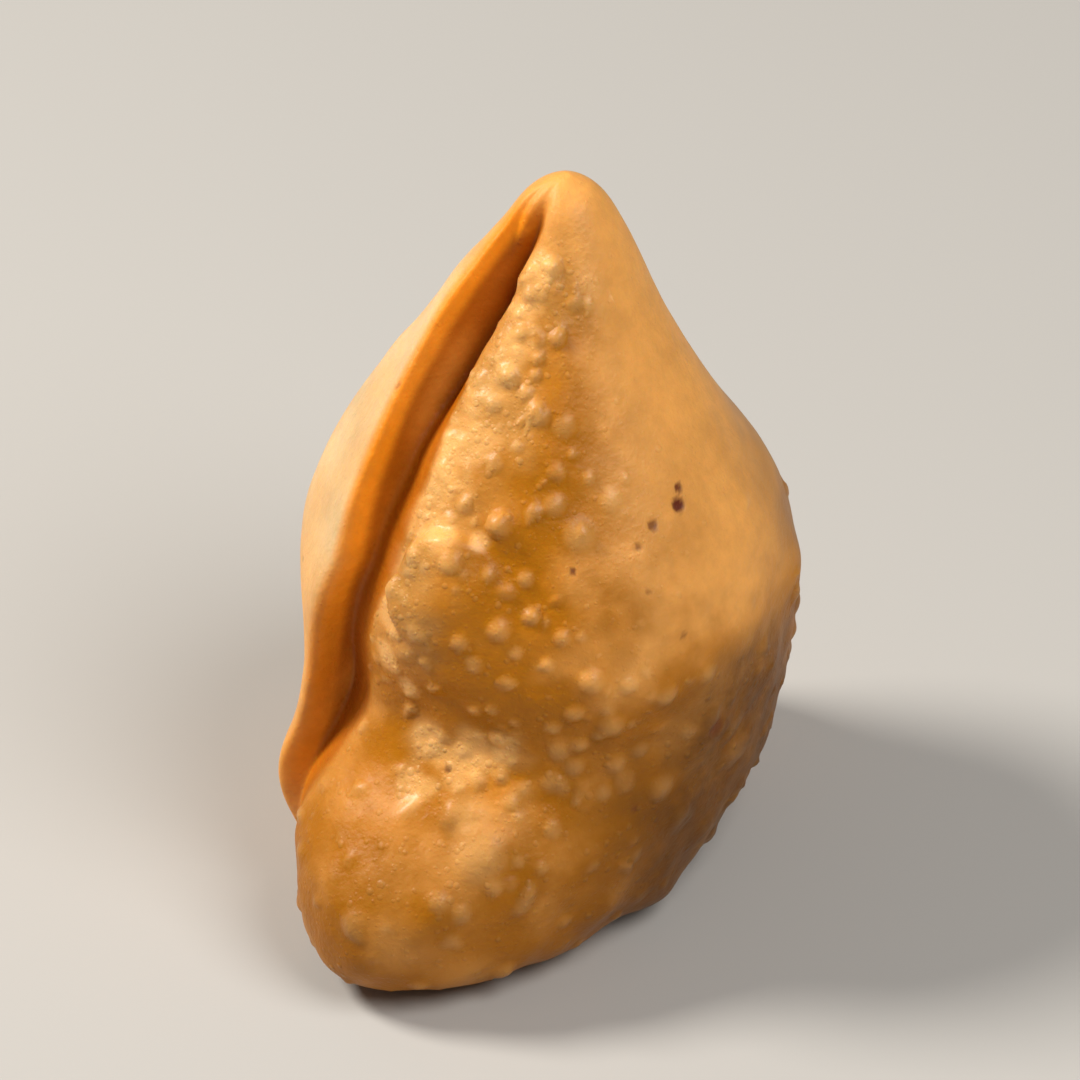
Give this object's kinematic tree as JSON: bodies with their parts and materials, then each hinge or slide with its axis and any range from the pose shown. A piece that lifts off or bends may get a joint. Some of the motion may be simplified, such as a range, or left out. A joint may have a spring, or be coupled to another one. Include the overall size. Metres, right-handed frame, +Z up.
{
  "type": "samosa",
  "caption": "Deep-fried filled pastry that stands on its pinched base with its point up, with a thick fold of dough down one side and a blistered golden crust.",
  "frame": {"origin": "on the surface that the samosa stands on, under the middle of its bounding box", "axes": "+Z up towards the point, -Y towards the front with the blistered panel, +X towards the smooth side; the fold runs down the -X side"},
  "size_m": [0.0616, 0.0672, 0.092],
  "materials": {
    "crust": "golden-brown fried dough with a thin film of oil, blistered, darker brown towards the base on one side"
  },
  "bodies": {
    "root": {"samosa": "crust"}
  },
  "joints": []
}
